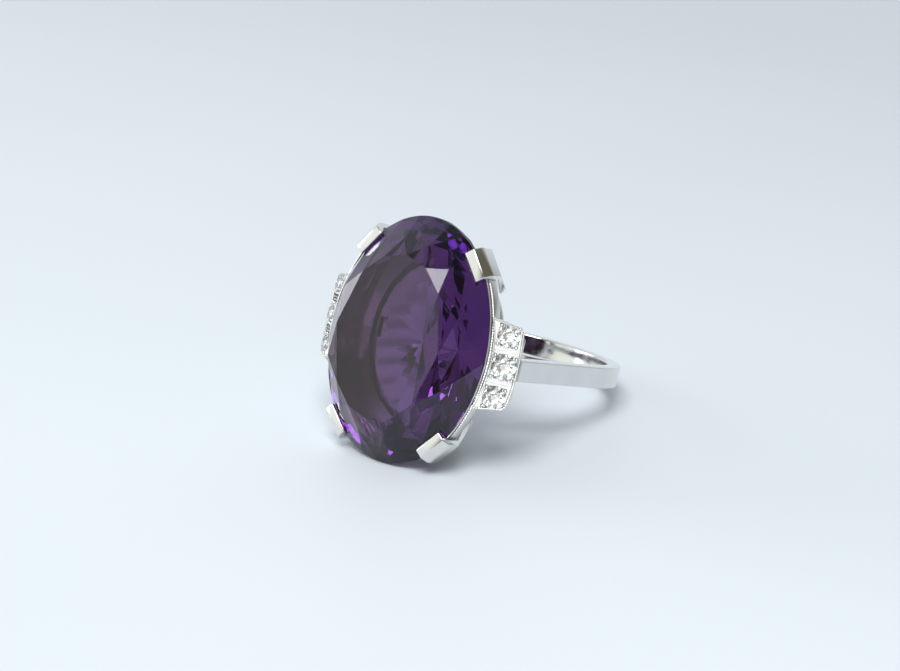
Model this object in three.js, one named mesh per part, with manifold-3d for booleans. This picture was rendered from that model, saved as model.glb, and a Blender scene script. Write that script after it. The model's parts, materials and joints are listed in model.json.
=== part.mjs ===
// A cocktail ring: a large oval faceted stone held by four flat claws, a sloping plate of three small
// round stones on each long side of it, and a slim U-shaped shank. Millimetres, +Z up.
//
// Each piece is drawn standing up, in the ring's own frame: the finger hole's centre is the origin, its
// axis is Y, and the stone's table faces +Z. The ring is then laid on its side, as it rests on a table:
// on the stone's lower end and on the back edge of the shank.
import * as THREE from "three";
import { mergeVertices } from "three/addons/utils/BufferGeometryUtils.js";
import Module from "manifold-3d";

const wasm = await Module();
wasm.setup();

// Driving dimensions.
const FINGER_HOLE_R = 8.35;
const SHANK_THICKNESS = 1.2;
const SHANK_SHOULDER_WIDTH = 1.72;
const SHANK_BACK_WIDTH = 1.84;
const STONE_HALF_WIDTH = 7.63;
const STONE_HALF_LENGTH = 10;
const GIRDLE_Z = 14.8;
const GIRDLE_THICKNESS = 0.35;
const CROWN_HEIGHT = 2.7;
const SOLDER_GAP = 0.03;

// The rails along each long side of the large stone, from claw to claw. offset is the outer face's
// distance outside the stone's edge.
const SIDE_HALF_TURN = THREE.MathUtils.degToRad(44);
const BEZEL = { offset: 0.12, wall: 0.3, low: GIRDLE_Z - 0.32, high: GIRDLE_Z + 0.04 };
const GALLERY = { offset: 0.04, wall: 0.45, low: GIRDLE_Z - 1.42, high: GIRDLE_Z - 0.42 };

// The basket is a tapering wall round the stone's pavilion, standing on the base rail.
const BASE = { halfWidth: 5.1, halfLength: 6.6, wall: 0.8, low: 8.6, high: 9.4 };
const BASKET = { halfWidth: 7.28, halfLength: 9.1, wall: 0.4, high: GIRDLE_Z - 2.1 };

// Each claw stands on the outline at its own angle of the ellipse, measured from +X towards +Y.
const CLAW_ANGLES = {
  claw_upper_right: THREE.MathUtils.degToRad(47),
  claw_upper_left: THREE.MathUtils.degToRad(136),
  claw_lower_left: THREE.MathUtils.degToRad(233),
  claw_lower_right: THREE.MathUtils.degToRad(-48),
};
const CLAW_TOP_WIDTH = 2.55;
const CLAW_FOOT_WIDTH = 1.3;

// The sloping plates of small stones.
const PLATE_SLOPE = THREE.MathUtils.degToRad(36);
const PLATE_INNER_X = 7.24;
const PLATE_INNER_HALF_LENGTH = 3.72;
const PLATE_OUTER_HALF_LENGTH = 3.27;
const PLATE_REACH = 2.8;
const PLATE_BULGE = 0.2;
const PLATE_CORNER_R = 0.5;
const PLATE_THICKNESS = 0.9;
const PLATE_TOP_Z = GIRDLE_Z - 0.05;
const PLATE_CLEARANCE = 0.17;
const POCKET_DEPTH = 0.2;
const SMALL_STONES = [
  { name: "upper", across: 1.68, along: 2.5, radius: 0.94 },
  { name: "middle", across: 1.84, along: 0, radius: 1.06 },
  { name: "lower", across: 1.68, along: -2.5, radius: 0.94 },
];
const GRAIN_R = 0.17;

const BRIDGE_WIDTH = 1.5;
const BRIDGE_INNER_R = FINGER_HOLE_R + 0.2;

const SHANK_OUTER_R = FINGER_HOLE_R + SHANK_THICKNESS;
const WHITE_GOLD = { color: 0xd9d8d3, roughness: 0.12, metalness: 1 };
const AMETHYST = { color: 0x3c1a63, roughness: 0.02, metalness: 0 };
const DIAMOND = { color: 0xeef2f8, roughness: 0.01, metalness: 0 };

// ---- Solids and meshes ----

function solidOf(geometry) {
  const bare = geometry.clone();
  bare.deleteAttribute("normal");
  bare.deleteAttribute("uv");
  const merged = mergeVertices(bare, 1e-4);
  const mesh = new wasm.Mesh({
    numProp: 3,
    vertProperties: merged.attributes.position.array,
    triVerts: Uint32Array.from(merged.index.array),
  });
  return new wasm.Manifold(mesh);
}

function meshOf(name, solid, look) {
  const bodies = solid.decompose().sort((p, q) => q.volume() - p.volume());
  const { vertProperties, triVerts } = bodies[0].simplify(1e-3).getMesh();
  const geometry = new THREE.BufferGeometry();
  geometry.setAttribute("position", new THREE.BufferAttribute(vertProperties, 3));
  geometry.setIndex(new THREE.BufferAttribute(triVerts, 1));
  geometry.computeVertexNormals();
  const mesh = new THREE.Mesh(geometry, new THREE.MeshStandardMaterial(look));
  mesh.name = name;
  return mesh;
}

// Keeps the part of a solid that lies behind a plane, on the side its normal points away from.
function trim(solid, plane) {
  return solid.trimByPlane(plane.normal.clone().negate().toArray(), plane.constant);
}

// The plane through three points whose normal points away from the stone's middle.
function outwardPlane(p, q, r) {
  const plane = new THREE.Plane().setFromCoplanarPoints(p, q, r);
  return plane.constant > 0 ? plane.negate() : plane;
}

function ellipsePlate(halfWidth, halfLength, low, high, segments = 36) {
  const shape = new THREE.Shape().absellipse(0, 0, halfWidth, halfLength, 0, 2 * Math.PI);
  const options = { depth: high - low, bevelEnabled: false, curveSegments: segments };
  return solidOf(new THREE.ExtrudeGeometry(shape, options).translate(0, 0, low));
}

function ellipseRail(halfWidth, halfLength, wall, low, high) {
  const hole = ellipsePlate(halfWidth - wall, halfLength - wall, low - 1, high + 1);
  return ellipsePlate(halfWidth, halfLength, low, high).subtract(hole);
}

// The part of a rail round the stone's outline that lies between the lower and the upper claw.
function sideRail({ offset, wall, low, high }) {
  const rail = ellipseRail(STONE_HALF_WIDTH + offset, STONE_HALF_LENGTH + offset, wall, low, high);
  const reach = 2 * STONE_HALF_LENGTH;
  const tip = new THREE.Vector2(
    STONE_HALF_WIDTH * Math.cos(SIDE_HALF_TURN),
    STONE_HALF_LENGTH * Math.sin(SIDE_HALF_TURN),
  ).setLength(reach);
  const shape = new THREE.Shape([new THREE.Vector2(), new THREE.Vector2(tip.x, -tip.y), tip]);
  const sector = new THREE.ExtrudeGeometry(shape, { depth: high - low + 2, bevelEnabled: false });
  return rail.intersect(solidOf(sector.translate(0, 0, low - 1))).subtract(largeSeat);
}

// A solid that tapers from the basket's top edge to the base rail, grown by an amount all round.
function basketCone(grown) {
  const thin = 0.01;
  const { halfWidth, halfLength, high } = BASKET;
  const footZ = BASE.high + SOLDER_GAP;
  // Raising the top edge follows the wall's flare outwards, so that the gap beside the wall stays whole.
  const flareX = 1 + (halfWidth - BASE.halfWidth) / (high - footZ);
  const flareY = 1 + (halfLength - BASE.halfLength) / (high - footZ);
  const rim = [halfWidth + grown * flareX, halfLength + grown * flareY];
  const top = ellipsePlate(...rim, high + grown - thin, high + grown);
  const foot = ellipsePlate(BASE.halfWidth + grown, BASE.halfLength + grown, footZ, footZ + thin);
  return wasm.Manifold.hull([top, foot]);
}

function basket() {
  const { halfWidth, halfLength, wall, high } = BASKET;
  const thin = 0.01;
  const footZ = BASE.high + SOLDER_GAP;
  const top = ellipsePlate(halfWidth - wall, halfLength - wall, high, high + thin);
  const foot = ellipsePlate(BASE.halfWidth - wall, BASE.halfLength - wall, footZ - thin, footZ);
  return basketCone(0).subtract(wasm.Manifold.hull([top, foot])).subtract(largeSeat);
}

// Everything inside the stone's outline grown by offset, between two heights.
function insideOutline(offset, low, high) {
  return ellipsePlate(STONE_HALF_WIDTH + offset, STONE_HALF_LENGTH + offset, low, high);
}

// ---- Faceted stones ----

// The crown of a brilliant: a kite at each angle, and between two kites a star facet below the table
// and two facets above the girdle. Radii are given as parts of the outline's own radius.
function crownPlanes({ halfWidth, halfLength, girdle, crown, angles, tableR, starR }) {
  const rim = (angle, scale, z) =>
    new THREE.Vector3(halfWidth * scale * Math.cos(angle), halfLength * scale * Math.sin(angle), z);
  const edgeZ = girdle / 2;
  const tableZ = edgeZ + crown;
  const planes = [new THREE.Plane(new THREE.Vector3(0, 0, 1), -tableZ)];
  angles.forEach((angle, k) => {
    const next = k + 1 < angles.length ? angles[k + 1] : angles[0] + 2 * Math.PI;
    const mid = (angle + next) / 2;
    const starRise = (crown * (1 - starR * Math.cos(mid - angle))) / (1 - tableR);
    const star = rim(mid, starR, edgeZ + starRise);
    const foot = rim(angle, 1, edgeZ);
    const corner = rim(angle, tableR, tableZ);
    const alongRim = rim(angle + Math.PI / 2, 1, 0);
    planes.push(outwardPlane(corner, foot, foot.clone().add(alongRim)));
    planes.push(outwardPlane(corner, rim(next, tableR, tableZ), star));
    planes.push(outwardPlane(star, foot, rim(mid, 1, edgeZ)));
    planes.push(outwardPlane(star, rim(mid, 1, edgeZ), rim(next, 1, edgeZ)));
  });
  return planes;
}

// One tier of the pavilion: facets of one slope all round, set in from the outline by inset.
function tierPlanes({ halfWidth, halfLength, girdle }, { count, turn, slope, inset }) {
  const planes = [];
  for (let k = 0; k < count; k += 1) {
    const angle = (2 * Math.PI * (k + turn)) / count;
    const foot = new THREE.Vector3(halfWidth * Math.cos(angle), halfLength * Math.sin(angle), -girdle / 2);
    const out = new THREE.Vector3(Math.cos(angle) / halfWidth, Math.sin(angle) / halfLength, 0).normalize();
    const normal = out.clone().multiplyScalar(Math.sin(slope));
    normal.z = -Math.cos(slope);
    planes.push(
      new THREE.Plane().setFromNormalAndCoplanarPoint(normal, foot.addScaledVector(out, -inset)),
    );
  }
  return planes;
}

// Facets that run from the end of the last tier down to the culet. There the tiers have come in by reach
// from the outline and down by fall from the girdle.
function fanPlanes({ halfWidth, halfLength, girdle, fan }) {
  const culet = new THREE.Vector3(0, 0, -fan.depth);
  const drop = fan.depth - fan.fall - girdle / 2;
  const planes = [];
  for (let k = 0; k < fan.count; k += 1) {
    const angle = (2 * Math.PI * (k + fan.turn)) / fan.count;
    const foot = new THREE.Vector3(halfWidth * Math.cos(angle), halfLength * Math.sin(angle), 0);
    const out = new THREE.Vector3(Math.cos(angle) / halfWidth, Math.sin(angle) / halfLength, 0).normalize();
    const slope = Math.atan2(drop, foot.dot(out) - fan.reach);
    const normal = out.multiplyScalar(Math.sin(slope));
    normal.z = -Math.cos(slope);
    planes.push(new THREE.Plane().setFromNormalAndCoplanarPoint(normal, culet));
  }
  return planes;
}

function facetedStone(stone) {
  const { halfWidth, halfLength, crown, depth, segments, tiers } = stone;
  const rough = ellipsePlate(halfWidth, halfLength, -depth, 2 * crown, segments);
  const pavilion = tiers.flatMap((tier) => tierPlanes(stone, tier));
  const fan = stone.fan ? fanPlanes(stone) : [];
  return [...crownPlanes(stone), ...pavilion, ...fan].reduce(trim, rough);
}

function evenAngles(count) {
  return Array.from({ length: count }, (_, k) => (2 * Math.PI * k) / count);
}

// The large stone's twelve kites, closer together towards its ends.
const OVAL_ANGLES = [0, 42, 66, 90, 114, 138, 180, 222, 246, 270, 294, 318].map(
  THREE.MathUtils.degToRad,
);

// The pavilion's tiers below the girdle, each starting where the one above it ends, and the fan of facets
// from the last tier down to the culet.
function pavilionOf({ steps, tierCount, fanCount, fanTurn, depth }) {
  const tiers = [];
  let reach = 0;
  let fall = 0;
  for (const { slope, width } of steps) {
    const radians = THREE.MathUtils.degToRad(slope);
    const inset = reach - fall / Math.tan(radians);
    tiers.push({ count: tierCount, turn: tiers.length % 2 ? 0.5 : 0, slope: radians, inset });
    reach += width;
    fall += width * Math.tan(radians);
  }
  return { tiers, fan: { count: fanCount, turn: fanTurn, depth, reach, fall } };
}

const LARGE_STONE = {
  halfWidth: STONE_HALF_WIDTH,
  halfLength: STONE_HALF_LENGTH,
  girdle: GIRDLE_THICKNESS,
  crown: CROWN_HEIGHT,
  angles: OVAL_ANGLES,
  tableR: 0.67,
  starR: 0.8,
  depth: 7,
  segments: 36,
  ...pavilionOf({
    steps: [
      { slope: 52, width: 0.9 },
      { slope: 44, width: 1.1 },
    ],
    tierCount: 20,
    fanCount: 16,
    fanTurn: 0.5,
    depth: 5.9,
  }),
};

// A round old-cut stone: small table, high crown, small flat culet.
function roundStone(radius) {
  return facetedStone({
    halfWidth: radius,
    halfLength: radius,
    girdle: 0.06,
    crown: 0.34 * radius,
    angles: evenAngles(8),
    tableR: 0.52,
    starR: 0.7,
    depth: 0.7 * radius,
    segments: 12,
    tiers: [{ count: 8, turn: 0, slope: THREE.MathUtils.degToRad(41), inset: 0 }],
  });
}

const largeStone = facetedStone(LARGE_STONE).translate([0, 0, GIRDLE_Z]);

// The large stone grown by the solder gap all round: what it leaves clear in the metal.
const largeSeat = facetedStone({
  ...LARGE_STONE,
  halfWidth: STONE_HALF_WIDTH + SOLDER_GAP,
  halfLength: STONE_HALF_LENGTH + SOLDER_GAP,
  girdle: GIRDLE_THICKNESS + 2 * SOLDER_GAP,
}).translate([0, 0, GIRDLE_Z]);

// ---- Claws ----

// A claw's side view: x is the distance outside the stone's edge, y the height above its girdle. The
// tab folds over the crown with a ridge along its middle, and the leg leans in to the base rail.
const CLAW_OUTLINE = [
  [-0.56, 0.6],
  [-0.52, 0.93],
  [0.28, 0.84],
  [0.66, 0.28],
  [0.74, 0.02],
  [0.74, -1.1],
  [-2.1, BASE.low - GIRDLE_Z],
  [-3.2, BASE.low - GIRDLE_Z],
  [-0.6, -1.7],
];

function claw(angle) {
  const shape = new THREE.Shape(CLAW_OUTLINE.map(([x, y]) => new THREE.Vector2(x, y)));
  const blank = new THREE.ExtrudeGeometry(shape, { depth: CLAW_TOP_WIDTH, bevelEnabled: false });
  blank.translate(0, 0, -CLAW_TOP_WIDTH / 2);
  let solid = solidOf(blank);
  // Both edges run in towards the foot.
  const lean = Math.atan2((CLAW_TOP_WIDTH - CLAW_FOOT_WIDTH) / 2, GIRDLE_Z - BASE.low - 1);
  for (const side of [-1, 1]) {
    const normal = new THREE.Vector3(0, -Math.sin(lean), side * Math.cos(lean));
    const top = new THREE.Vector3(0, -0.6, (side * CLAW_TOP_WIDTH) / 2);
    solid = trim(solid, new THREE.Plane().setFromNormalAndCoplanarPoint(normal, top));
  }
  const out = new THREE.Vector3(
    Math.cos(angle) / STONE_HALF_WIDTH,
    Math.sin(angle) / STONE_HALF_LENGTH,
    0,
  ).normalize();
  const up = new THREE.Vector3(0, 0, 1);
  const place = new THREE.Matrix4().makeBasis(out, up, out.clone().cross(up));
  place.setPosition(
    STONE_HALF_WIDTH * Math.cos(angle),
    STONE_HALF_LENGTH * Math.sin(angle),
    GIRDLE_Z,
  );
  return solid
    .transform(place.toArray())
    .subtract(largeSeat)
    .subtract(insideOutline(BEZEL.offset + SOLDER_GAP, GALLERY.low - SOLDER_GAP, BEZEL.high + SOLDER_GAP))
    .subtract(basketCone(SOLDER_GAP))
    .subtract(
      ellipsePlate(
        BASE.halfWidth + SOLDER_GAP,
        BASE.halfLength + SOLDER_GAP,
        BASE.low - 1,
        BASE.high + SOLDER_GAP,
      ),
    );
}

// ---- Plates of small stones, drawn for the +X side ----

// The plate's own frame: x runs outwards down the slope, y along the stone's length, z off the face.
const plateFrame = new THREE.Matrix4()
  .makeRotationY(PLATE_SLOPE)
  .setPosition(PLATE_INNER_X, 0, PLATE_TOP_Z);

function plateOutline() {
  const shape = new THREE.Shape();
  const sideSlant = (PLATE_INNER_HALF_LENGTH - PLATE_OUTER_HALF_LENGTH) / PLATE_REACH;
  const cornerStart = PLATE_REACH - PLATE_CORNER_R;
  const endHalf = PLATE_INNER_HALF_LENGTH - sideSlant * cornerStart;
  const bulgeHalf = PLATE_OUTER_HALF_LENGTH - PLATE_CORNER_R;
  shape.moveTo(-1, -PLATE_INNER_HALF_LENGTH - sideSlant);
  shape.lineTo(cornerStart, -endHalf);
  shape.quadraticCurveTo(PLATE_REACH, -PLATE_OUTER_HALF_LENGTH, PLATE_REACH + 0.05, -bulgeHalf);
  shape.quadraticCurveTo(PLATE_REACH + 2 * PLATE_BULGE, 0, PLATE_REACH + 0.05, bulgeHalf);
  shape.quadraticCurveTo(PLATE_REACH, PLATE_OUTER_HALF_LENGTH, cornerStart, endHalf);
  shape.lineTo(-1, PLATE_INNER_HALF_LENGTH + sideSlant);
  return shape;
}

// A square pocket round a small stone, with a grain of metal left in each corner to hold it.
function pocket({ across, along, radius }) {
  const half = radius + 0.06;
  const square = new THREE.CylinderGeometry(half * Math.SQRT2, half * Math.SQRT2, 2 * POCKET_DEPTH, 4);
  square.rotateX(Math.PI / 2).rotateZ(Math.PI / 4);
  return solidOf(square.translate(across, along, 0));
}

function grains({ across, along, radius }) {
  const offset = radius * 0.82;
  const balls = [];
  for (const x of [-offset, offset]) {
    for (const y of [-offset, offset]) {
      const ball = new THREE.SphereGeometry(GRAIN_R, 8, 5);
      balls.push(solidOf(ball.translate(across + x, along + y, -POCKET_DEPTH + 0.04)));
    }
  }
  return balls;
}

function smallStoneAt({ across, along, radius }, gap) {
  return roundStone(radius + gap).translate([across, along, -POCKET_DEPTH / 2]);
}

function diamondPlate() {
  const options = { depth: PLATE_THICKNESS, bevelEnabled: false, curveSegments: 6 };
  const blank = new THREE.ExtrudeGeometry(plateOutline(), options).translate(0, 0, -PLATE_THICKNESS);
  let plate = solidOf(blank);
  for (const stone of SMALL_STONES) {
    plate = plate.subtract(pocket(stone));
    grains(stone).forEach((ball) => (plate = plate.add(ball)));
    plate = plate.subtract(smallStoneAt(stone, SOLDER_GAP));
  }
  const well = insideOutline(PLATE_CLEARANCE, GIRDLE_Z - 4, GIRDLE_Z + 2);
  return plate.transform(plateFrame.toArray()).subtract(well);
}

// The plane of the plate's underside, facing down and in.
function undersidePlane(side) {
  const normal = new THREE.Vector3(side * Math.sin(PLATE_SLOPE), 0, Math.cos(PLATE_SLOPE));
  const top = new THREE.Vector3(side * PLATE_INNER_X, 0, PLATE_TOP_Z);
  return new THREE.Plane().setFromNormalAndCoplanarPoint(
    normal,
    top.addScaledVector(normal, -PLATE_THICKNESS - SOLDER_GAP),
  );
}

// ---- Shank and the pieces that tie it to the head ----

// Extrudes an outline drawn in the plane of the hoop by width, half to each side of it.
function acrossHoop(shape, width, curveSegments) {
  const geometry = new THREE.ExtrudeGeometry(shape, { depth: width, bevelEnabled: false, curveSegments });
  return solidOf(geometry.translate(0, 0, -width / 2).rotateX(Math.PI / 2));
}

function shank() {
  const armTop = GIRDLE_Z - 1;
  const shape = new THREE.Shape();
  shape.moveTo(SHANK_OUTER_R, armTop);
  shape.lineTo(SHANK_OUTER_R, 0);
  shape.absarc(0, 0, SHANK_OUTER_R, 0, -Math.PI, true);
  shape.lineTo(-SHANK_OUTER_R, armTop);
  shape.lineTo(-FINGER_HOLE_R, armTop);
  shape.lineTo(-FINGER_HOLE_R, 0);
  shape.absarc(0, 0, FINGER_HOLE_R, -Math.PI, 0, false);
  shape.lineTo(FINGER_HOLE_R, armTop);
  let solid = acrossHoop(shape, 2 * SHANK_SHOULDER_WIDTH, 40);
  const taper = Math.atan2((SHANK_SHOULDER_WIDTH - SHANK_BACK_WIDTH) / 2, GIRDLE_Z + SHANK_OUTER_R);
  for (const side of [-1, 1]) {
    const normal = new THREE.Vector3(0, side * Math.cos(taper), -Math.sin(taper));
    const back = new THREE.Vector3(0, (side * SHANK_BACK_WIDTH) / 2, -SHANK_OUTER_R);
    solid = trim(solid, new THREE.Plane().setFromNormalAndCoplanarPoint(normal, back));
    solid = trim(solid, undersidePlane(side));
  }
  return solid;
}

// A small bracket under each plate, notched round the top of the shank's arm.
function shoulderBracket() {
  const low = GIRDLE_Z - 2.7;
  const size = new THREE.Vector3(1.6, 5, 3);
  const block = new THREE.BoxGeometry(size.x, size.y, size.z);
  const notch = new THREE.BoxGeometry(2, SHANK_SHOULDER_WIDTH + 2 * SOLDER_GAP, 2 * size.z);
  const outerX = SHANK_OUTER_R - 0.4;
  const blank = solidOf(block.translate(outerX - size.x / 2, 0, low + size.z / 2));
  const cut = solidOf(notch.translate(FINGER_HOLE_R - SOLDER_GAP + 1, 0, low));
  const well = insideOutline(PLATE_CLEARANCE, low - 1, low + size.z + 1);
  return trim(blank.subtract(cut), undersidePlane(1)).subtract(well);
}

// A curved strip that follows the finger from the shank's arm up to the base rail.
function fingerBridge() {
  const armX = FINGER_HOLE_R - SOLDER_GAP;
  const low = Math.acos(armX / BRIDGE_INNER_R);
  const high = THREE.MathUtils.degToRad(62);
  const topZ = BASE.low - SOLDER_GAP;
  const shape = new THREE.Shape();
  shape.moveTo(armX, BRIDGE_INNER_R * Math.sin(low));
  shape.absarc(0, 0, BRIDGE_INNER_R, low, high, false);
  shape.lineTo(BRIDGE_INNER_R * Math.cos(high), topZ);
  shape.lineTo(BASE.halfWidth - 0.1, topZ);
  shape.quadraticCurveTo(armX - 0.9, 7.2, armX, 4);
  return acrossHoop(shape, BRIDGE_WIDTH, 10);
}

// ---- Assembly ----

const ring = new THREE.Group();

ring.add(meshOf("amethyst", largeStone, AMETHYST));
ring.add(meshOf("basket", basket(), WHITE_GOLD));
ring.add(
  meshOf(
    "base_rail",
    ellipseRail(BASE.halfWidth, BASE.halfLength, BASE.wall, BASE.low, BASE.high).subtract(largeSeat),
    WHITE_GOLD,
  ),
);

for (const [name, angle] of Object.entries(CLAW_ANGLES)) {
  ring.add(meshOf(name, claw(angle), WHITE_GOLD));
}

// The left side is the right side turned half a turn about the stone's axis.
for (const [side, turn] of [["right", 0], ["left", Math.PI]]) {
  const shoulder = new THREE.Group();
  shoulder.rotation.z = turn;
  shoulder.add(meshOf(`girdle_bezel_${side}`, sideRail(BEZEL), WHITE_GOLD));
  shoulder.add(meshOf(`gallery_band_${side}`, sideRail(GALLERY), WHITE_GOLD));
  shoulder.add(meshOf(`diamond_plate_${side}`, diamondPlate(), WHITE_GOLD));
  shoulder.add(meshOf(`shoulder_bracket_${side}`, shoulderBracket(), WHITE_GOLD));
  shoulder.add(meshOf(`finger_bridge_${side}`, fingerBridge(), WHITE_GOLD));
  for (const stone of SMALL_STONES) {
    const diamond = smallStoneAt(stone, 0).transform(plateFrame.toArray());
    shoulder.add(meshOf(`diamond_${side}_${stone.name}`, diamond, DIAMOND));
  }
  ring.add(shoulder);
}
ring.add(meshOf("shank", shank(), WHITE_GOLD));

// Laid on its side: a straight line joins the stone's lower end and the shank's back edge, and the ring
// is turned until that line lies on the table.
const restLine = new THREE.Vector2(
  GIRDLE_Z - GIRDLE_THICKNESS / 2 + SHANK_OUTER_R,
  STONE_HALF_LENGTH - SHANK_BACK_WIDTH / 2,
);
ring.rotation.x = Math.PI / 2 - restLine.angle();

const laid = new THREE.Group();
laid.add(ring);
laid.updateMatrixWorld(true);
const box = new THREE.Box3().setFromObject(laid, true);
const middle = box.getCenter(new THREE.Vector3());
ring.position.set(-middle.x, -middle.y, -box.min.z);

export default laid;
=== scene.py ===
"""The looks of the cocktail ring: smooth bevelled metal, cut stones, floor, light and camera.

The large stone is cut as in the CAD model. Every piece is drawn in millimetres in the ring's own frame, as
the CAD model is: the finger hole's centre is the origin, its axis is Y and the large stone's table faces
+Z. RING then lays it in the row frame.
"""
import json
import math

import bmesh
import bpy
from mathutils import Matrix, Vector


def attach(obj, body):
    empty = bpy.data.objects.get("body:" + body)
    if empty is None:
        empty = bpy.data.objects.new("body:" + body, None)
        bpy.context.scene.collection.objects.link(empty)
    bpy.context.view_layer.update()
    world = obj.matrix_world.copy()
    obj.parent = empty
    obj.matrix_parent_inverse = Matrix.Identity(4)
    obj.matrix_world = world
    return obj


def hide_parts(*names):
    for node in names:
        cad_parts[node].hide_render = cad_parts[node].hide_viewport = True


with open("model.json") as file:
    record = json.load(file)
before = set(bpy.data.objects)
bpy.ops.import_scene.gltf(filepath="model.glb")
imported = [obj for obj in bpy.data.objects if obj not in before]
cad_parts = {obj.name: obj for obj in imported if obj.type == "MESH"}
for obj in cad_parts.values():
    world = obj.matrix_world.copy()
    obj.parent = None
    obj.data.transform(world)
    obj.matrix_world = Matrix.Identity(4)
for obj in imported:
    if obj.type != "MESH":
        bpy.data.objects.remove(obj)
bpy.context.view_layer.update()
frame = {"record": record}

# Sizes in millimetres, as in the CAD model.
FINGER_HOLE_R = 8.35
SHANK_THICKNESS = 1.2
SHANK_OUTER_R = FINGER_HOLE_R + SHANK_THICKNESS
SHANK_SHOULDER_WIDTH = 1.72
SHANK_BACK_WIDTH = 1.84
STONE_A = 7.63
STONE_B = 10.0
GIRDLE_Z = 14.8
GIRDLE_THICKNESS = 0.35
CROWN_HEIGHT = 2.7
SIDE_HALF_TURN = math.radians(44)
BEZEL = {"offset": 0.12, "wall": 0.3, "low": GIRDLE_Z - 0.32, "high": GIRDLE_Z + 0.04}
GALLERY = {"offset": 0.04, "wall": 0.45, "low": GIRDLE_Z - 1.42, "high": GIRDLE_Z - 0.42}
BASE = {"a": 5.1, "b": 6.6, "wall": 0.8, "low": 8.6, "high": 9.4}
BASKET = {"a": 7.28, "b": 9.1, "wall": 0.4, "high": GIRDLE_Z - 2.1}
CLAW_ANGLES = {
    "upper_right": math.radians(47),
    "upper_left": math.radians(136),
    "lower_left": math.radians(233),
    "lower_right": math.radians(-48),
}
CLAW_TOP_WIDTH = 2.55
CLAW_FOOT_WIDTH = 1.3
PLATE_SLOPE = math.radians(36)
PLATE_INNER_X = 7.24
PLATE_INNER_HALF = 3.72
PLATE_OUTER_HALF = 3.27
PLATE_REACH = 2.8
PLATE_BULGE = 0.2
PLATE_CORNER_R = 0.5
PLATE_THICKNESS = 0.9
PLATE_TOP_Z = GIRDLE_Z - 0.05
PLATE_CLEARANCE = 0.17
POCKET_DEPTH = 0.2
# Finer than the CAD model: deeper wells, with a pair of thin rails between the small stones.
PLATE_WELL = 0.42
PLATE_RAIL_Y = 1.31
PLATE_RAIL_GAP = 0.23
PLATE_RIM = 0.18
RAIL_BEAD_SPACING = 0.13
RIM_BEAD_SPACING = 0.2
BEZEL_BEAD_SPACING = 0.2
BEZEL_BEAD_R = 0.085
SMALL_STONES = (
    ("upper", 1.68, 2.5, 0.94),
    ("middle", 1.84, 0.0, 1.06),
    ("lower", 1.68, -2.5, 0.94),
)

# The ring's frame, from the mount on the large stone's table.
table_mount = next(m for m in frame["record"]["mounts"] if m["name"] == "stone_table")
FACE = Vector(table_mount["axis"]).normalized()
ACROSS = Vector((1, 0, 0))
ALONG = FACE.cross(ACROSS)
TABLE_Z = GIRDLE_Z + GIRDLE_THICKNESS / 2 + CROWN_HEIGHT
HOLE_CENTRE = Vector(table_mount["pos_m"]) - FACE * TABLE_Z * 0.001
RING = Matrix.Translation(HOLE_CENTRE) @ Matrix((ACROSS, ALONG, FACE)).transposed().to_4x4()
RING = RING @ Matrix.Scale(0.001, 4)
GIRDLE_CENTRE = RING @ Vector((0, 0, GIRDLE_Z))


# ---- Materials ----


def new_material(name):
    material = bpy.data.materials.new(name)
    material.use_nodes = True
    nodes = material.node_tree.nodes
    return material, nodes, material.node_tree.links, nodes["Principled BSDF"]


def noise(nodes, links, scale, detail, stretch=None):
    """A noise texture in the object's own coordinates, scale in features per metre."""
    coords = nodes.new("ShaderNodeTexCoord")
    texture = nodes.new("ShaderNodeTexNoise")
    texture.inputs["Scale"].default_value = scale
    texture.inputs["Detail"].default_value = detail
    source = coords.outputs["Object"]
    if stretch:
        mapping = nodes.new("ShaderNodeMapping")
        mapping.inputs["Scale"].default_value = stretch
        links.new(source, mapping.inputs["Vector"])
        source = mapping.outputs["Vector"]
    links.new(source, texture.inputs["Vector"])
    return texture.outputs["Fac"]


def spread(nodes, links, value, low, high):
    """Maps a 0 to 1 value onto low to high."""
    span = nodes.new("ShaderNodeMapRange")
    span.inputs["From Min"].default_value = 0.3
    span.inputs["From Max"].default_value = 0.7
    span.inputs["To Min"].default_value = low
    span.inputs["To Max"].default_value = high
    links.new(value, span.inputs["Value"])
    return span.outputs["Result"]


def white_gold():
    """Polished white gold: a pale grey mirror with faint wear and soft waviness from the polishing."""
    material, nodes, links, shader = new_material("white_gold")
    tone = nodes.new("ShaderNodeMix")
    tone.data_type = "RGBA"
    tone.inputs["A"].default_value = (0.80, 0.80, 0.795, 1)
    tone.inputs["B"].default_value = (0.71, 0.71, 0.70, 1)
    links.new(noise(nodes, links, 500, 3), tone.inputs["Factor"])
    links.new(tone.outputs["Result"], shader.inputs["Base Color"])
    shader.inputs["Metallic"].default_value = 1
    wear = noise(nodes, links, 1800, 6)
    links.new(spread(nodes, links, wear, 0.06, 0.17), shader.inputs["Roughness"])
    scratches = noise(nodes, links, 1500, 4, (1, 9, 9))
    bump = nodes.new("ShaderNodeBump")
    bump.inputs["Strength"].default_value = 0.06
    bump.inputs["Distance"].default_value = 0.00003
    links.new(scratches, bump.inputs["Height"])
    links.new(bump.outputs["Normal"], shader.inputs["Normal"])
    return material


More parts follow.
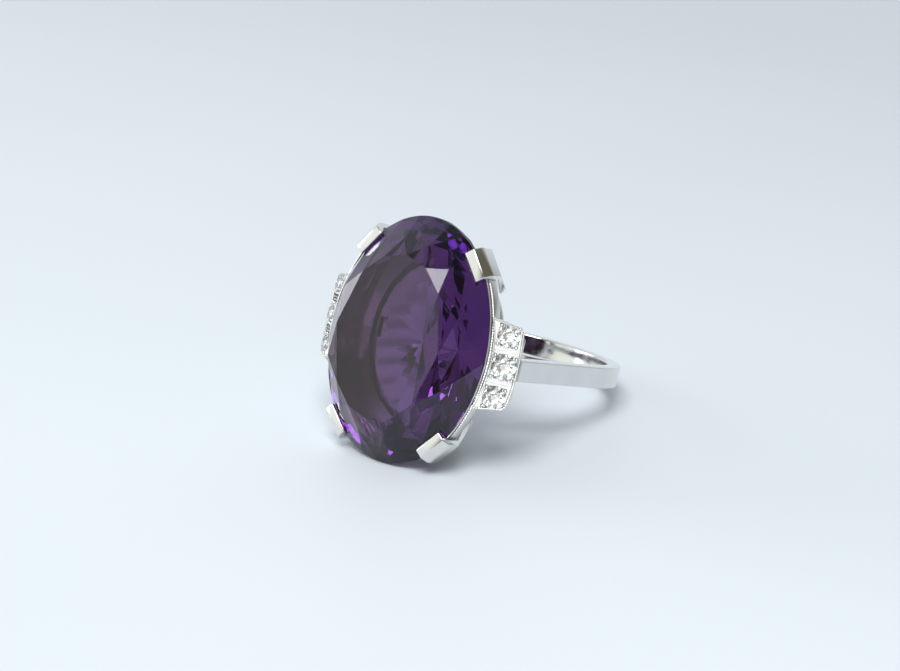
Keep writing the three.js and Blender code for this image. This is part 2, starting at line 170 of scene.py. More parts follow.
def left_to_right_blend(nodes, links, reach, cloud):
    """0 at the stone's left end to 1 at its right end, reach metres away, with soft clouds."""
    coords = nodes.new("ShaderNodeTexCoord")
    parts = nodes.new("ShaderNodeSeparateXYZ")
    links.new(coords.outputs["Object"], parts.inputs["Vector"])
    across = nodes.new("ShaderNodeMapRange")
    across.inputs["From Min"].default_value = -reach
    across.inputs["From Max"].default_value = reach
    across.inputs["To Min"].default_value = -cloud / 2
    across.inputs["To Max"].default_value = 1 - cloud / 2
    links.new(parts.outputs["X"], across.inputs["Value"])
    total = nodes.new("ShaderNodeMath")
    total.operation = "MULTIPLY_ADD"
    total.use_clamp = True
    links.new(noise(nodes, links, 160, 2), total.inputs[0])
    total.inputs[1].default_value = cloud
    links.new(across.outputs["Result"], total.inputs[2])
    return total.outputs["Value"]


def cut_stone(name, tints, ior, wear, absorption=None, density=0.0):
    """A polished transparent stone, tinted by its depth where an absorption colour is given."""
    material, nodes, links, shader = new_material(name)
    # Base colour blended from the first tint at the stone's left end to the second at its right end. For the
    # amethyst the reddish-brown left end is painted shade.
    tone = nodes.new("ShaderNodeMix")
    tone.data_type = "RGBA"
    tone.inputs["A"].default_value, tone.inputs["B"].default_value = tints
    links.new(left_to_right_blend(nodes, links, STONE_A * 0.001, 0.3), tone.inputs["Factor"])
    links.new(tone.outputs["Result"], shader.inputs["Base Color"])
    shader.inputs["Transmission Weight"].default_value = 1
    shader.inputs["IOR"].default_value = ior
    polish = noise(nodes, links, 900, 4)
    links.new(spread(nodes, links, polish, 0.0, wear), shader.inputs["Roughness"])
    if absorption:
        volume = nodes.new("ShaderNodeVolumeAbsorption")
        volume.inputs["Color"].default_value = absorption
        volume.inputs["Density"].default_value = density
        links.new(volume.outputs["Volume"], nodes["Material Output"].inputs["Volume"])
    return material


WHITE_GOLD = white_gold()
# The amethyst's violet is its own colour; the reddish-brown towards its left end is painted shade, standing in
# for the dim olive room seen in the stone there.
AMETHYST_SHADED_TINTS = ((0.25, 0.135, 0.18, 1), (0.19, 0.125, 0.33, 1))
DIAMOND_TINTS = ((1, 1, 1, 1), (0.96, 0.975, 1, 1))
AMETHYST = cut_stone("amethyst", AMETHYST_SHADED_TINTS, 1.55, 0.01, (0.40, 0.05, 0.62, 1), 110)
DIAMOND = cut_stone("diamond", DIAMOND_TINTS, 2.417, 0.01)


# ---- Meshes ----


def add_piece(name, bm, material, slot, *nodes, crease=30):
    """Lays a mesh drawn in millimetres in the row frame as a piece of the ring."""
    bmesh.ops.recalc_face_normals(bm, faces=bm.faces[:])
    mesh = bpy.data.meshes.new(name)
    bm.to_mesh(mesh)
    bm.free()
    mesh.transform(RING)
    mesh.shade_smooth()
    mesh.set_sharp_from_angle(angle=math.radians(crease))
    mesh.materials.append(material)
    piece = bpy.data.objects.new(name, mesh)
    bpy.context.scene.collection.objects.link(piece)
    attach(piece, "root")
    if nodes:
        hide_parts(*nodes)
    return piece


def bevel_sharp(bm, width, segments=3, angle=28):
    """Rounds the edges whose faces meet at more than an angle."""
    limit = math.radians(angle)
    edges = [e for e in bm.edges if e.is_manifold and e.calc_face_angle(0) > limit]
    bmesh.ops.bevel(
        bm, geom=edges, offset=width, segments=segments, affect="EDGES", profile=0.5, clamp_overlap=True
    )


def rounded_box_section(x0, x1, z0, z1, radius, steps=4):
    """The outline of a rectangle with rounded corners, as (x, z) points."""
    corners = ((x1, z1, 0), (x0, z1, 90), (x0, z0, 180), (x1, z0, 270))
    points = []
    for x, z, start in corners:
        cx = x - math.copysign(radius, x - (x0 + x1) / 2)
        cz = z - math.copysign(radius, z - (z0 + z1) / 2)
        for k in range(steps + 1):
            angle = math.radians(start + 90 * k / steps)
            points.append((cx + radius * math.cos(angle), cz + radius * math.sin(angle)))
    return points


def skin(bm, rings, closed_path):
    """Joins rings of points into a tube, closed on itself or capped at both ends."""
    loops = [[bm.verts.new(p) for p in ring] for ring in rings]
    count = len(loops[0])
    last = len(loops) if closed_path else len(loops) - 1
    for i in range(last):
        here = loops[i]
        there = loops[(i + 1) % len(loops)]
        for j in range(count):
            k = (j + 1) % count
            bm.faces.new((here[j], here[k], there[k], there[j]))
    if not closed_path:
        bm.faces.new(loops[0])
        bm.faces.new(loops[-1])


def on_ellipse(angle, a, b):
    """A point of an ellipse and the direction out of it."""
    point = Vector((a * math.cos(angle), b * math.sin(angle), 0))
    out = Vector((math.cos(angle) / a, math.sin(angle) / b, 0)).normalized()
    return point, out


def ellipse_rail(bm, a, b, section, segments=288):
    """A rail round an ellipse. The section's x is the distance outside the ellipse."""
    rings = []
    for k in range(segments):
        point, out = on_ellipse(2 * math.pi * k / segments, a, b)
        rings.append([point + out * x + Vector((0, 0, z)) for x, z in section])
    skin(bm, rings, True)


def side_rail(bm, section, half_turn, segments=96):
    """A rail along one side of the large stone's outline, from the lower claw to the upper one."""
    rings = []
    for k in range(segments + 1):
        point, out = on_ellipse(half_turn * (2 * k / segments - 1), STONE_A, STONE_B)
        rings.append([point + out * x + Vector((0, 0, z)) for x, z in section])
    skin(bm, rings, False)


def add_ball(bm, centre, radius, squash=1.0, direction=Vector((0, 0, 1)), detail=2):
    """A small bead, flattened along a direction."""
    turn = Vector((0, 0, 1)).rotation_difference(direction).to_matrix().to_4x4()
    place = Matrix.Translation(centre) @ turn @ Matrix.Diagonal((radius, radius, radius * squash, 1))
    bmesh.ops.create_icosphere(bm, subdivisions=detail, radius=1, matrix=place)


# ---- Cut stones ----


def outward_plane(p, q, r):
    """The plane through three points as (point, normal), facing away from the stone's middle."""
    normal = (q - p).cross(r - p).normalized()
    if normal.dot(p) < 0:
        normal.negate()
    return p, normal


def crown_planes(a, b, girdle, crown, angles, table_r, star_r):
    """Table, kites, stars and upper girdle facets. Radii are parts of the outline's own radius."""

    def rim(angle, scale, z):
        return Vector((a * scale * math.cos(angle), b * scale * math.sin(angle), z))

    edge_z = girdle / 2
    table_z = edge_z + crown
    planes = [(Vector((0, 0, table_z)), Vector((0, 0, 1)))]
    for k, angle in enumerate(angles):
        following = angles[k + 1] if k + 1 < len(angles) else angles[0] + 2 * math.pi
        mid = (angle + following) / 2
        rise = crown * (1 - star_r * math.cos(mid - angle)) / (1 - table_r)
        star = rim(mid, star_r, edge_z + rise)
        foot = rim(angle, 1, edge_z)
        corner = rim(angle, table_r, table_z)
        planes.append(outward_plane(corner, foot, foot + rim(angle + math.pi / 2, 1, 0)))
        planes.append(outward_plane(corner, rim(following, table_r, table_z), star))
        planes.append(outward_plane(star, foot, rim(mid, 1, edge_z)))
        planes.append(outward_plane(star, rim(mid, 1, edge_z), rim(following, 1, edge_z)))
    return planes


def tier_planes(a, b, girdle, count, turn, slope, inset):
    """One tier of the pavilion: facets of one slope all round, set in from the outline."""
    planes = []
    for k in range(count):
        point, out = on_ellipse(2 * math.pi * (k + turn) / count, a, b)
        normal = out * math.sin(slope) - Vector((0, 0, math.cos(slope)))
        planes.append((point - out * inset - Vector((0, 0, girdle / 2)), normal))
    return planes


def pavilion_of(steps, tier_count, fan_count, fan_turn, depth):
    """The tiers, each starting where the one above it ends, and the fan from the last one to the culet."""
    reach = fall = 0.0
    tiers = []
    for slope, width in steps:
        radians = math.radians(slope)
        inset = reach - fall / math.tan(radians)
        tiers.append({"count": tier_count, "turn": 0.5 * (len(tiers) % 2), "slope": radians, "inset": inset})
        reach += width
        fall += width * math.tan(radians)
    fan = {"count": fan_count, "turn": fan_turn, "depth": depth, "reach": reach, "fall": fall}
    return {"tiers": tiers, "fan": fan}


def fan_planes(a, b, girdle, count, turn, depth, reach, fall):
    """Facets from the end of the last tier, reach in from the outline and fall deep, down to the culet."""
    planes = []
    for k in range(count):
        point, out = on_ellipse(2 * math.pi * (k + turn) / count, a, b)
        slope = math.atan2(depth - fall - girdle / 2, point.dot(out) - reach)
        normal = out * math.sin(slope) - Vector((0, 0, math.cos(slope)))
        planes.append((Vector((0, 0, -depth)), normal))
    return planes


def faceted_stone(a, b, girdle, crown, angles, table_r, star_r, depth, segments, tiers, fan=None):
    """Cuts a stone out of an elliptical blank, plane by plane."""
    bm = bmesh.new()
    ring = [on_ellipse(2 * math.pi * k / segments, a, b)[0] for k in range(segments)]
    heights = (-depth, 2 * crown)
    skin(bm, [[p + Vector((0, 0, z)) for p in ring] for z in heights], False)
    planes = crown_planes(a, b, girdle, crown, angles, table_r, star_r)
    for tier in tiers:
        planes += tier_planes(a, b, girdle, **tier)
    if fan:
        planes += fan_planes(a, b, girdle, **fan)
    for point, normal in planes:
        everything = bm.verts[:] + bm.edges[:] + bm.faces[:]
        cut = bmesh.ops.bisect_plane(
            bm, geom=everything, plane_co=point, plane_no=normal, dist=1e-5, clear_outer=True
        )
        edges = [e for e in cut["geom_cut"] if isinstance(e, bmesh.types.BMEdge)]
        if edges:
            bmesh.ops.contextual_create(bm, geom=edges)
    bmesh.ops.remove_doubles(bm, verts=bm.verts[:], dist=1e-4)
    return bm


OVAL_ANGLES = [math.radians(v) for v in (0, 42, 66, 90, 114, 138, 180, 222, 246, 270, 294, 318)]
LARGE_STONE = {
    "girdle": GIRDLE_THICKNESS,
    "crown": CROWN_HEIGHT,
    "angles": OVAL_ANGLES,
    "table_r": 0.67,
    "star_r": 0.8,
    "depth": 7.0,
    **pavilion_of(((52, 0.9), (44, 1.1)), tier_count=20, fan_count=16, fan_turn=0.5, depth=5.9),
}


def large_stone(grown=0.0, segments=144):
    stone = dict(LARGE_STONE, girdle=GIRDLE_THICKNESS + 2 * grown)
    bm = faceted_stone(STONE_A + grown, STONE_B + grown, segments=segments, **stone)
    bmesh.ops.translate(bm, verts=bm.verts[:], vec=(0, 0, GIRDLE_Z))
    return bm


def round_stone(radius):
    """A round old-cut stone: small table, high crown, small flat culet."""
    slope = math.radians(41)
    return faceted_stone(
        radius,
        radius,
        girdle=0.05,
        crown=0.34 * radius,
        angles=[2 * math.pi * k / 8 for k in range(8)],
        table_r=0.52,
        star_r=0.7,
        depth=0.76 * radius,
        segments=48,
        tiers=[
            {"count": 8, "turn": 0, "slope": slope, "inset": 0},
            {"count": 16, "turn": 0.5, "slope": slope + math.radians(3), "inset": 0},
        ],
    )


# ---- Metal ----


def seat_object():
    """The large stone grown by a hair, to cut its seat out of the metal."""
    mesh = bpy.data.meshes.new("seat_tool")
    bm = large_stone(0.02, 144)
    bmesh.ops.recalc_face_normals(bm, faces=bm.faces[:])
    bm.to_mesh(mesh)
    bm.free()
    return bpy.data.objects.new("seat_tool", mesh)


def cut_seat(bm, tool):
    """Takes the large stone's seat out of a mesh drawn in millimetres."""
    bmesh.ops.recalc_face_normals(bm, faces=bm.faces[:])
    mesh = bpy.data.meshes.new("seat_blank")
    bm.to_mesh(mesh)
    bm.free()
    blank = bpy.data.objects.new("seat_blank", mesh)
    collection = bpy.context.scene.collection
    collection.objects.link(blank)
    collection.objects.link(tool)
    modifier = blank.modifiers.new("seat", "BOOLEAN")
    modifier.operation = "DIFFERENCE"
    modifier.solver = "EXACT"
    modifier.object = tool
    bpy.context.view_layer.update()
    evaluated = blank.evaluated_get(bpy.context.evaluated_depsgraph_get())
    result = bmesh.new()
    result.from_mesh(evaluated.to_mesh())
    evaluated.to_mesh_clear()
    collection.objects.unlink(tool)
    bpy.data.objects.remove(blank)
    bpy.data.meshes.remove(mesh)
    return result


CLAW_OUTLINE = (
    (-0.52, 0.93),
    (0.28, 0.84),
    (0.66, 0.28),
    (0.74, 0.02),
    (0.74, -1.1),
    (-2.1, BASE["low"] - GIRDLE_Z),
    (-2.85, BASE["low"] - GIRDLE_Z),
    (0.1, -1.55),
    (0.17, -0.6),
    (0.17, 0.0),
    (-0.56, 0.6),
)


def claw_mesh(angle, tool):
    """A claw's tab folded over the crown, and its leg leaning in to the base rail."""
    point, out = on_ellipse(angle, STONE_A, STONE_B)
    side = out.cross(Vector((0, 0, 1)))
    height = GIRDLE_Z - BASE["low"]

    def half_width(z):
        share = min(max((-z - 0.6) / (height - 0.6), 0), 1)
        return (CLAW_TOP_WIDTH + (CLAW_FOOT_WIDTH - CLAW_TOP_WIDTH) * share) / 2

    bm = bmesh.new()
    rings = []
    for sign in (-1, 1):
        rings.append(
            [
                point + out * x + side * (sign * half_width(z)) + Vector((0, 0, GIRDLE_Z + z))
                for x, z in CLAW_OUTLINE
            ]
        )
    skin(bm, rings, False)
    bmesh.ops.recalc_face_normals(bm, faces=bm.faces[:])
    bevel_sharp(bm, 0.09, 3, 12)
    return cut_seat(bm, tool)


def girdle_bezel():
    """The thin wire under one side of the girdle, with its row of milled beads."""
    bm = bmesh.new()
    reach = BEZEL["offset"]
    wire = rounded_box_section(reach - 0.1, reach, BEZEL["high"] - 0.12, BEZEL["high"], 0.04, 3)
    side_rail(bm, wire, SIDE_HALF_TURN)
    travelled = BEZEL_BEAD_SPACING
    step = 0.002
    angle = -SIDE_HALF_TURN
    while angle < SIDE_HALF_TURN:
        if travelled >= BEZEL_BEAD_SPACING:
            point, out = on_ellipse(angle, STONE_A, STONE_B)
            centre = point + out * (GALLERY["offset"] - 0.01) + Vector((0, 0, GALLERY["high"]))
            add_ball(bm, centre, BEZEL_BEAD_R, 1.0, detail=1)
            travelled = 0
        travelled += step * math.hypot(STONE_A * math.sin(angle), STONE_B * math.cos(angle))
        angle += step
    return bm


def gallery_band(tool):
    """The smooth wall under one side of the girdle, with the stone's seat cut out of it."""
    bm = bmesh.new()
    outer = GALLERY["offset"]
    wall = rounded_box_section(outer - GALLERY["wall"], outer, GALLERY["low"], GALLERY["high"], 0.1, 4)
    side_rail(bm, wall, SIDE_HALF_TURN)
    return cut_seat(bm, tool)


def basket():
    """A thin wall that tapers round the pavilion, from the side rails in to the base rail."""
    bm = bmesh.new()
    top = BASKET["high"]
    foot = BASE["high"] + 0.02
    corners = ((0, foot), (0, top), (BASKET["wall"], top), (BASKET["wall"], foot))
    rings = []
    segments = 192
    for k in range(segments):
        angle = 2 * math.pi * k / segments
        ring = []
        for inset, z in corners:
            share = (z - foot) / (top - foot)
            a = BASE["a"] + (BASKET["a"] - BASE["a"]) * share - inset
            b = BASE["b"] + (BASKET["b"] - BASE["b"]) * share - inset
            ring.append(Vector((a * math.cos(angle), b * math.sin(angle), z)))
        rings.append(ring)
    skin(bm, rings, True)
    bmesh.ops.recalc_face_normals(bm, faces=bm.faces[:])
    bevel_sharp(bm, 0.1, 3, 30)
    return bm


def base_rail():
    bm = bmesh.new()
    section = rounded_box_section(-BASE["wall"], 0, BASE["low"], BASE["high"], 0.2, 5)
    ellipse_rail(bm, BASE["a"], BASE["b"], section, 192)
    return bm


PLATE = Matrix.Translation((PLATE_INNER_X, 0, PLATE_TOP_Z)) @ Matrix.Rotation(PLATE_SLOPE, 4, "Y")
TO_PLATE = PLATE.inverted()


def curve_through(start, bend, end, steps):
    """Points of a quadratic curve after its start."""
    points = []
    for k in range(1, steps + 1):
        t = k / steps
        points.append(
            tuple((1 - t) ** 2 * s + 2 * t * (1 - t) * m + t * t * e for s, m, e in zip(start, bend, end))
        )
    return points


def plate_inner_x(y, depth=0.0):
    """Where the plate's inner edge is, at a height in its own frame, so that it follows the stone."""
    a = STONE_A + PLATE_CLEARANCE
    b = STONE_B + PLATE_CLEARANCE
    x = a * math.sqrt(1 - (y / b) ** 2)
    return (x - PLATE_INNER_X - depth * math.sin(PLATE_SLOPE)) / math.cos(PLATE_SLOPE)


def plate_outline(margin=0.0, depth=0.0):
    """The plate's outline in its own frame, drawn in by a margin."""
    outer = PLATE_REACH - margin
    slant = (PLATE_INNER_HALF - PLATE_OUTER_HALF) / PLATE_REACH
    corner = outer - PLATE_CORNER_R
    end_half = PLATE_INNER_HALF - slant * corner - margin
    bulge_half = PLATE_OUTER_HALF - PLATE_CORNER_R - margin
    outer_half = PLATE_OUTER_HALF - margin
    inner_half = PLATE_INNER_HALF - margin
    points = [(plate_inner_x(-inner_half, depth) + margin, -inner_half), (corner, -end_half)]
    points += curve_through(points[-1], (outer, -outer_half), (outer + 0.05, -bulge_half), 8)
    points += curve_through(points[-1], (outer + 2 * PLATE_BULGE, 0), (outer + 0.05, bulge_half), 24)
    points += curve_through(points[-1], (outer, outer_half), (corner, end_half), 8)
    points.append((plate_inner_x(inner_half, depth) + margin, inner_half))
    for k in range(1, 24):
        y = inner_half * (1 - 2 * k / 24)
        points.append((plate_inner_x(y, depth) + margin, y))
    return points


def spaced(points, spacing):
    """Points at equal steps along a closed outline."""
    lengths = []
    for k, p in enumerate(points):
        q = points[(k + 1) % len(points)]
        lengths.append(math.dist(p, q))
    total = sum(lengths)
    count = round(total / spacing)
    found = []
    k = 0
    passed = 0.0
    for n in range(count):
        target = total * n / count
        while passed + lengths[k] < target:
            passed += lengths[k]
            k += 1
        t = (target - passed) / lengths[k]
        p = points[k]
        q = points[(k + 1) % len(points)]
        found.append((p[0] + (q[0] - p[0]) * t, p[1] + (q[1] - p[1]) * t))
    return found


def slab_with_holes(bm, outline, holes, low, high):
    """A flat slab of the outline's shape, pierced by round holes."""
    loops = [outline]
    turns = [t * math.pi / 24 for t in range(48)]
    for x, y, radius in holes:
        loops.append([(x + radius * math.cos(t), y + radius * math.sin(t)) for t in turns])
    edges = []
    for loop in loops:
        verts = [bm.verts.new((x, y, high)) for x, y in loop]
        edges += [bm.edges.new((verts[k], verts[(k + 1) % len(verts)])) for k in range(len(verts))]
    faces = bmesh.ops.triangle_fill(bm, edges=edges, use_beauty=True)["geom"]
    faces = [f for f in faces if isinstance(f, bmesh.types.BMFace)]
    moved = bmesh.ops.extrude_face_region(bm, geom=faces)["geom"]
    moved = [v for v in moved if isinstance(v, bmesh.types.BMVert)]
    bmesh.ops.translate(bm, verts=moved, vec=(0, 0, low - high))


def outline_wall(bm, width, low, high, radius):
    """A raised rim along the plate's outline."""
    middle = plate_outline(width / 2)
    section = rounded_box_section(-width / 2, width / 2, low, high, radius, 3)
    rings = []
    count = len(middle)
    for k, (x, y) in enumerate(middle):
        before = Vector(middle[k - 1])
        after = Vector(middle[(k + 1) % count])
        run = (after - before).normalized()
        out = Vector((run.y, -run.x))
        rings.append([Vector((x + out.x * s, y + out.y * s, z)) for s, z in section])
    skin(bm, rings, True)


def plate_rail(bm, y, start, end, floor):
    """A thin rail across the plate with a row of milled beads on top."""
    half = 0.045
    section = rounded_box_section(y - half, y + half, floor - 0.05, -0.05, 0.03, 3)
    skin(bm, [[Vector((x, s, z)) for s, z in section] for x in (start, end)], False)
    count = round((end - start) / RAIL_BEAD_SPACING)
    for k in range(1, count):
        add_ball(bm, Vector((start + (end - start) * k / count, y, -0.05)), 0.052, 0.8, detail=1)


def diamond_plate():
    """A pierced plate: rim, a pair of rails between stones, milled beads, and grains round each stone."""
    bm = bmesh.new()
    floor = -PLATE_WELL
    holes = [(x, y, r - 0.03) for _, x, y, r in SMALL_STONES]
    slab_with_holes(bm, plate_outline(0.02), holes, -PLATE_THICKNESS, floor)
    outline_wall(bm, PLATE_RIM, -PLATE_THICKNESS, 0, 0.05)
    for y in (PLATE_RAIL_Y - PLATE_RAIL_GAP / 2, PLATE_RAIL_Y + PLATE_RAIL_GAP / 2):
        for side in (-1, 1):
            plate_rail(bm, side * y, plate_inner_x(y) + PLATE_RIM / 2, PLATE_REACH + 0.05, floor)
    for x, y in spaced(plate_outline(PLATE_RIM / 2), RIM_BEAD_SPACING):
        add_ball(bm, Vector((x, y, 0.01)), 0.08, 0.9, detail=1)
    for _, x, y, radius in SMALL_STONES:
        reach = radius * 0.8
        for sx in (-1, 1):
            for sy in (-1, 1):
                add_ball(bm, Vector((x + sx * reach, y + sy * reach, floor / 2)), 0.16, 1.5)
                add_ball(bm, Vector((x + sx * reach * 1.12, y + sy * reach * 0.62, floor + 0.06)), 0.09, 1.4)
                add_ball(bm, Vector((x + sx * reach * 0.62, y + sy * reach * 1.12, floor + 0.06)), 0.09, 1.4)
    bmesh.ops.transform(bm, matrix=PLATE, verts=bm.verts[:])
    return bm


def shank():
    """The U-shaped band, flat outside, its sides running in slightly towards the back."""
    taper = (SHANK_SHOULDER_WIDTH - SHANK_BACK_WIDTH) / (GIRDLE_Z + SHANK_OUTER_R)
    middle_r = FINGER_HOLE_R + SHANK_THICKNESS / 2
    arm_top = GIRDLE_Z - 2.35
    arm_steps = 12
    arc_steps = 128
    path = [(middle_r, arm_top * (1 - k / arm_steps), 1, 0) for k in range(arm_steps)]
    for k in range(arc_steps + 1):
        angle = -math.pi * k / arc_steps
        path.append((middle_r * math.cos(angle), middle_r * math.sin(angle), math.cos(angle), math.sin(angle)))
    path += [(-middle_r, arm_top * (k + 1) / arm_steps, -1, 0) for k in range(arm_steps)]
    bm = bmesh.new()
    rings = []
    for x, z, out_x, out_z in path:
        half = (SHANK_BACK_WIDTH + taper * (z + SHANK_OUTER_R)) / 2
        section = rounded_box_section(-SHANK_THICKNESS / 2, SHANK_THICKNESS / 2, -half, half, 0.16, 5)
        rings.append([Vector((x + out_x * s, w, z + out_z * s)) for s, w in section])
    skin(bm, rings, False)
    return bm


def arc_points(radius, start, end, steps):
    angles = [start + (end - start) * k / steps for k in range(steps + 1)]
    return [(radius * math.cos(angle), radius * math.sin(angle)) for angle in angles]


def finger_bridge():
    """A curved strip that follows the finger from the shank's arm up to the base rail."""
    inner_r = FINGER_HOLE_R + 0.2
    arm_x = FINGER_HOLE_R + 0.05
    high = math.radians(62)
    top_z = BASE["low"] + 0.1
    outline = arc_points(inner_r, math.acos(arm_x / inner_r), high, 24)
    outline += [(inner_r * math.cos(high), top_z), (BASE["a"] - 0.1, top_z)]
    outline += curve_through(outline[-1], (arm_x - 0.9, 7.2), (arm_x, 4), 16)
    bm = bmesh.new()
    half = 0.75
    skin(bm, [[Vector((x, y, z)) for x, z in outline] for y in (-half, half)], False)
    bmesh.ops.recalc_face_normals(bm, faces=bm.faces[:])
    bevel_sharp(bm, 0.12, 3, 50)
    return bm


def shoulder_bracket():
    """The small bracket between the plate, the gallery and the shank's arm."""
    bm = bmesh.new()
    low = GIRDLE_Z - 2.7
    outer_x = SHANK_OUTER_R - 0.4
    under = PLATE_THICKNESS / math.cos(PLATE_SLOPE) - 0.02
    for sign in (-1, 1):
        outline = [(y, x) for y, x in ((1.0, outer_x), (2.5, outer_x), (2.5, 7.6), (1.0, 7.6))]
        section = []
        for y, x in outline:
            top = PLATE_TOP_Z - (x - PLATE_INNER_X) * math.tan(PLATE_SLOPE) - under
            section.append((Vector((x, sign * y, low)), Vector((x, sign * y, top))))
        skin(bm, [[pair[0] for pair in section], [pair[1] for pair in section]], False)
    bmesh.ops.recalc_face_normals(bm, faces=bm.faces[:])
    bevel_sharp(bm, 0.08, 2, 40)
    return bm


def turned(bm, side):
    """A piece drawn for the right side, turned half a turn about the stone's axis for the left."""
    if side == "left":
        bmesh.ops.rotate(bm, verts=bm.verts[:], cent=(0, 0, 0), matrix=Matrix.Rotation(math.pi, 3, "Z"))
    return bm


def build_ring():
    tool = seat_object()
    add_piece("large_amethyst", large_stone(), AMETHYST, "amethyst", "amethyst", crease=0.5)
    add_piece("tapering_basket", basket(), WHITE_GOLD, "white_gold", "basket")
    add_piece("base_ring", base_rail(), WHITE_GOLD, "white_gold", "base_rail")
    for name, angle in CLAW_ANGLES.items():
        add_piece("flat_claw_" + name, claw_mesh(angle, tool), WHITE_GOLD, "white_gold", "claw_" + name)
    for side in ("right", "left"):
        parts = (
            ("milled_bezel_", girdle_bezel(), "girdle_bezel_"),
            ("gallery_", gallery_band(tool), "gallery_band_"),
            ("pierced_plate_", diamond_plate(), "diamond_plate_"),
            ("bracket_", shoulder_bracket(), "shoulder_bracket_"),
            ("bridge_", finger_bridge(), "finger_bridge_"),
        )
        for piece, bm, node in parts:
            add_piece(piece + side, turned(bm, side), WHITE_GOLD, "white_gold", node + side)
        for name, x, y, radius in SMALL_STONES:
            bm = round_stone(radius - 0.02)
            place = PLATE @ Matrix.Translation((x, y, -POCKET_DEPTH / 2))
            bmesh.ops.transform(bm, matrix=place, verts=bm.verts[:])
            stone = f"small_stone_{side}_{name}"
            add_piece(stone, turned(bm, side), DIAMOND, "diamond", f"diamond_{side}_{name}", crease=0.5)
    add_piece("band", shank(), WHITE_GOLD, "white_gold", "shank")
    bpy.data.objects.remove(tool)


# ---- Floor, light and camera ----


def pale_stone():
    """The table's pale stone, softly clouded, with painted shade that makes it darker behind the ring."""
    material, nodes, links, shader = new_material("pale_stone")
    tone = nodes.new("ShaderNodeMix")
    tone.data_type = "RGBA"
    tone.inputs["A"].default_value = (0.74, 0.80, 0.86, 1)
    tone.inputs["B"].default_value = (0.80, 0.85, 0.90, 1)
    links.new(noise(nodes, links, 14, 1), tone.inputs["Factor"])
    coords = nodes.new("ShaderNodeTexCoord")
    parts = nodes.new("ShaderNodeSeparateXYZ")
    links.new(coords.outputs["Object"], parts.inputs["Vector"])
    # Painted shade: the floor's colour is scaled down towards the back, behind the ring.
    shade = nodes.new("ShaderNodeMapRange")
    shade.inputs["From Min"].default_value = -0.02
    shade.inputs["From Max"].default_value = 0.12
    shade.inputs["To Min"].default_value = 0.97
    shade.inputs["To Max"].default_value = 0.80
    links.new(parts.outputs["Y"], shade.inputs["Value"])
    dim = nodes.new("ShaderNodeVectorMath")
    dim.operation = "SCALE"
    links.new(tone.outputs["Result"], dim.inputs[0])
    links.new(shade.outputs["Result"], dim.inputs["Scale"])
    links.new(dim.outputs["Vector"], shader.inputs["Base Color"])
    shader.inputs["Roughness"].default_value = 0.5
    shader.inputs["Specular IOR Level"].default_value = 0.25
    return material


def floor():
    bpy.ops.mesh.primitive_plane_add(size=6, location=(0, 0, 0))
    plane = bpy.context.object
    plane.name = "floor"
    plane.data.materials.append(pale_stone())


def softbox(name, direction, distance, size, power, colour):
    light = bpy.data.lights.new(name, "AREA")
    light.shape = "RECTANGLE"
    light.size, light.size_y = size
    light.energy = power
    light.color = colour
    lamp = bpy.data.objects.new(name, light)
    bpy.context.scene.collection.objects.link(lamp)
    direction = Vector(direction).normalized()
    lamp.location = GIRDLE_CENTRE + direction * distance
    lamp.rotation_euler = direction.to_track_quat("Z", "Y").to_euler()


def lobe(nodes, links, direction, inner, outer):
    """1 towards a direction, fading to 0 between two angles from it."""
    coords = nodes.new("ShaderNodeTexCoord")
    facing = nodes.new("ShaderNodeVectorMath")
    facing.operation = "DOT_PRODUCT"
    facing.inputs[1].default_value = Vector(direction).normalized()
    links.new(coords.outputs["Generated"], facing.inputs[0])
    fade = nodes.new("ShaderNodeMapRange")
    fade.interpolation_type = "SMOOTHSTEP"
    fade.inputs["From Min"].default_value = math.cos(math.radians(outer))
    fade.inputs["From Max"].default_value = math.cos(math.radians(inner))
    links.new(facing.outputs["Value"], fade.inputs["Value"])
    return fade.outputs["Result"]


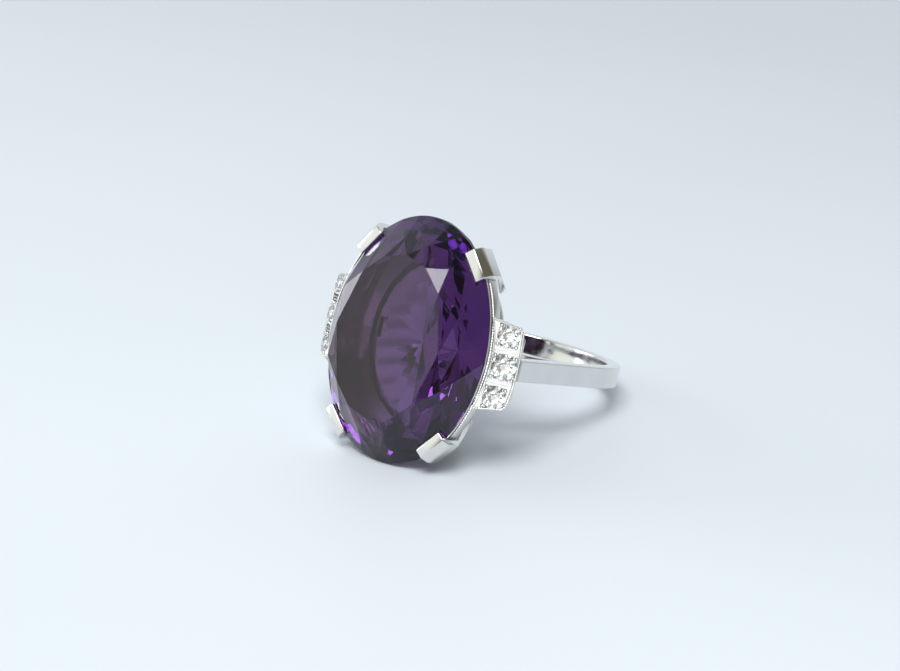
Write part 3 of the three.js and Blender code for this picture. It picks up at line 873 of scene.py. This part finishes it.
def surroundings():
    """A dim olive room, with pale daylight filling the far side and a lit wall at the front left."""
    world = bpy.data.worlds.new("room")
    bpy.context.scene.world = world
    world.use_nodes = True
    nodes, links = world.node_tree.nodes, world.node_tree.links
    regions = (
        ((-0.80, 0.55, 0.05), 50, 100, (0.76, 0.81, 0.86, 1)),
        ((-0.62, -0.74, 0.30), 14, 34, (1.05, 1.08, 1.02, 1)),
        ((0.66, -0.68, 0.32), 8, 22, (1.35, 1.38, 1.35, 1)),
    )
    colour = None
    for direction, inner, outer, tone in regions:
        mix = nodes.new("ShaderNodeMix")
        mix.data_type = "RGBA"
        mix.inputs["B"].default_value = tone
        links.new(lobe(nodes, links, direction, inner, outer), mix.inputs["Factor"])
        if colour:
            links.new(colour, mix.inputs["A"])
        else:
            mix.inputs["A"].default_value = (0.15, 0.14, 0.10, 1)
        colour = mix.outputs["Result"]
    links.new(colour, nodes["Background"].inputs["Color"])
    nodes["Background"].inputs["Strength"].default_value = 1.0


CAMERA_AZIMUTH = math.radians(37.117)
CAMERA_ELEVATION = math.radians(22.247)
CAMERA_ROLL = math.radians(1.451)
CAMERA_DISTANCE = 0.19584
CAMERA_ASIDE = 0.003370
CAMERA_RAISE = 0.000321
PIXELS_PER_MM = 12.557
IMAGE_WIDTH = 900
SENSOR = 36


def camera():
    back = Vector(
        (
            math.sin(CAMERA_AZIMUTH) * math.cos(CAMERA_ELEVATION),
            -math.cos(CAMERA_AZIMUTH) * math.cos(CAMERA_ELEVATION),
            math.sin(CAMERA_ELEVATION),
        )
    )
    level = Vector((math.cos(CAMERA_AZIMUTH), math.sin(CAMERA_AZIMUTH), 0))
    turn = Matrix.Rotation(CAMERA_ROLL, 3, back)
    right = turn @ level
    up = back.cross(right)
    data = bpy.data.cameras.new("camera")
    data.sensor_width = SENSOR
    data.lens = PIXELS_PER_MM * CAMERA_DISTANCE * 1000 * SENSOR / IMAGE_WIDTH
    data.clip_start = 0.01
    cam = bpy.data.objects.new("camera", data)
    bpy.context.scene.collection.objects.link(cam)
    place = Matrix((right, up, back)).transposed().to_4x4()
    place.translation = GIRDLE_CENTRE + back * CAMERA_DISTANCE + right * CAMERA_ASIDE + up * CAMERA_RAISE
    cam.matrix_world = place
    bpy.context.scene.camera = cam


build_ring()
floor()
surroundings()
softbox("window", (0.18, -0.41, 0.89), 0.9, (0.5, 0.45), 6.2, (0.97, 0.985, 1.0))
softbox("side_window", (-0.93, -0.30, 0.22), 0.8, (0.45, 0.3), 1.6, (0.95, 0.97, 1.0))
camera()

scene = bpy.context.scene
scene.view_settings.view_transform = "Standard"
scene.cycles.max_bounces = 24
scene.cycles.transmission_bounces = 24
scene.cycles.glossy_bounces = 12
